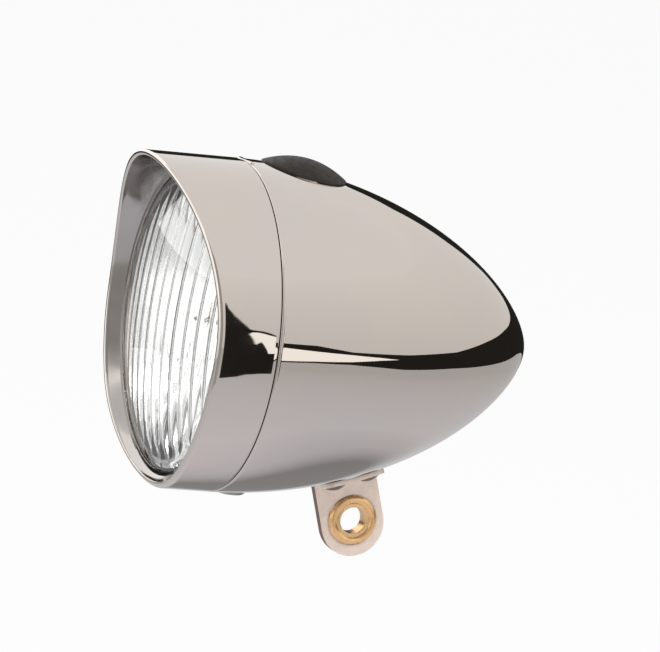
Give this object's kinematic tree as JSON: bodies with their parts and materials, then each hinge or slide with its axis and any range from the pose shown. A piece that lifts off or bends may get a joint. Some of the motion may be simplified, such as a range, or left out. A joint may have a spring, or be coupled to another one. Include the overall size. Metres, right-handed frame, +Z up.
{
  "type": "bicycle headlight",
  "caption": "Chromed bullet bicycle headlight with hooded rim, fluted lens, battery tray inside, rubber push switch on top and an eyelet bracket below.",
  "frame": {"origin": "middle of the bore of the bracket's eyelet, on the lamp's plane of symmetry", "axes": "+X along the eyelet's bore, to the lamp's left as its rider sees it; the lamp shines along -Y and its nose points along +Y; +Z up"},
  "size_m": [0.08, 0.1031, 0.0959],
  "materials": {
    "chromed_shell": "bright chrome plating on moulded plastic",
    "chromed_rim": "bright chrome plating on moulded plastic",
    "clear_lens": "clear, fluted inside",
    "clear_glass": "clear blown glass",
    "silvered_dish": "metallised and lacquered",
    "black_rubber": "matt moulded rubber",
    "zinc_steel": "zinc plated, dull",
    "spring_steel": "bright drawn wire",
    "screw_steel": "nickel plated",
    "brass": "satin brass",
    "tungsten": "dark drawn wire",
    "brown_laminate": "matt phenolic laminate",
    "white_plastic": "matt moulded plastic",
    "black_plastic": "fine textured plastic",
    "cell_jacket": "printed film sleeve with plain bands",
    "red_lead": "soft insulation"
  },
  "bodies": {
    "root": {"rear_shell": "chromed_shell", "rim_screw": "screw_steel", "clamp_nut": "zinc_steel", "switch_boot": "black_rubber", "switch_body": "white_plastic", "switch_spring": "spring_steel", "switch_ring_nut": "black_plastic", "switch_terminals": "brass", "switch_leads": "red_lead", "bracket_left": "zinc_steel", "bracket_right": "zinc_steel", "bracket_rivets": "zinc_steel", "rivet_plates": "zinc_steel", "mount_eyelet": "brass", "battery_tray": "black_plastic", "tray_screw": "screw_steel", "cell_lower": "cell_jacket", "cell_middle": "cell_jacket", "cell_upper": "cell_jacket", "battery_springs": "spring_steel", "contact_plates": "brass", "feed_strips": "brass"},
    "front": {"rim": "chromed_rim", "lens": "clear_lens", "lens_gasket": "black_rubber", "reflector": "silvered_dish", "retaining_wire": "spring_steel", "bulb_glass": "clear_glass", "bulb_cap": "brass", "bulb_filament": "tungsten", "bulb_socket": "brass", "socket_insulator": "brown_laminate", "centre_contact": "brass"},
    "button": {"switch_plunger": "white_plastic"}
  },
  "joints": [
    {"name": "front_swing", "type": "hinge", "parent": "root", "child": "front", "pos_m": [0, -0.04052, 0.085], "axis": [-1, 0, 0], "range_deg": [0, 20]},
    {"name": "switch_press", "type": "slide", "parent": "root", "child": "button", "axis": [0, -0.1367, -0.9906], "range_m": [0, 0.0013], "stiffness_N_per_m": 900, "deforming": ["switch_spring"]}
  ]
}
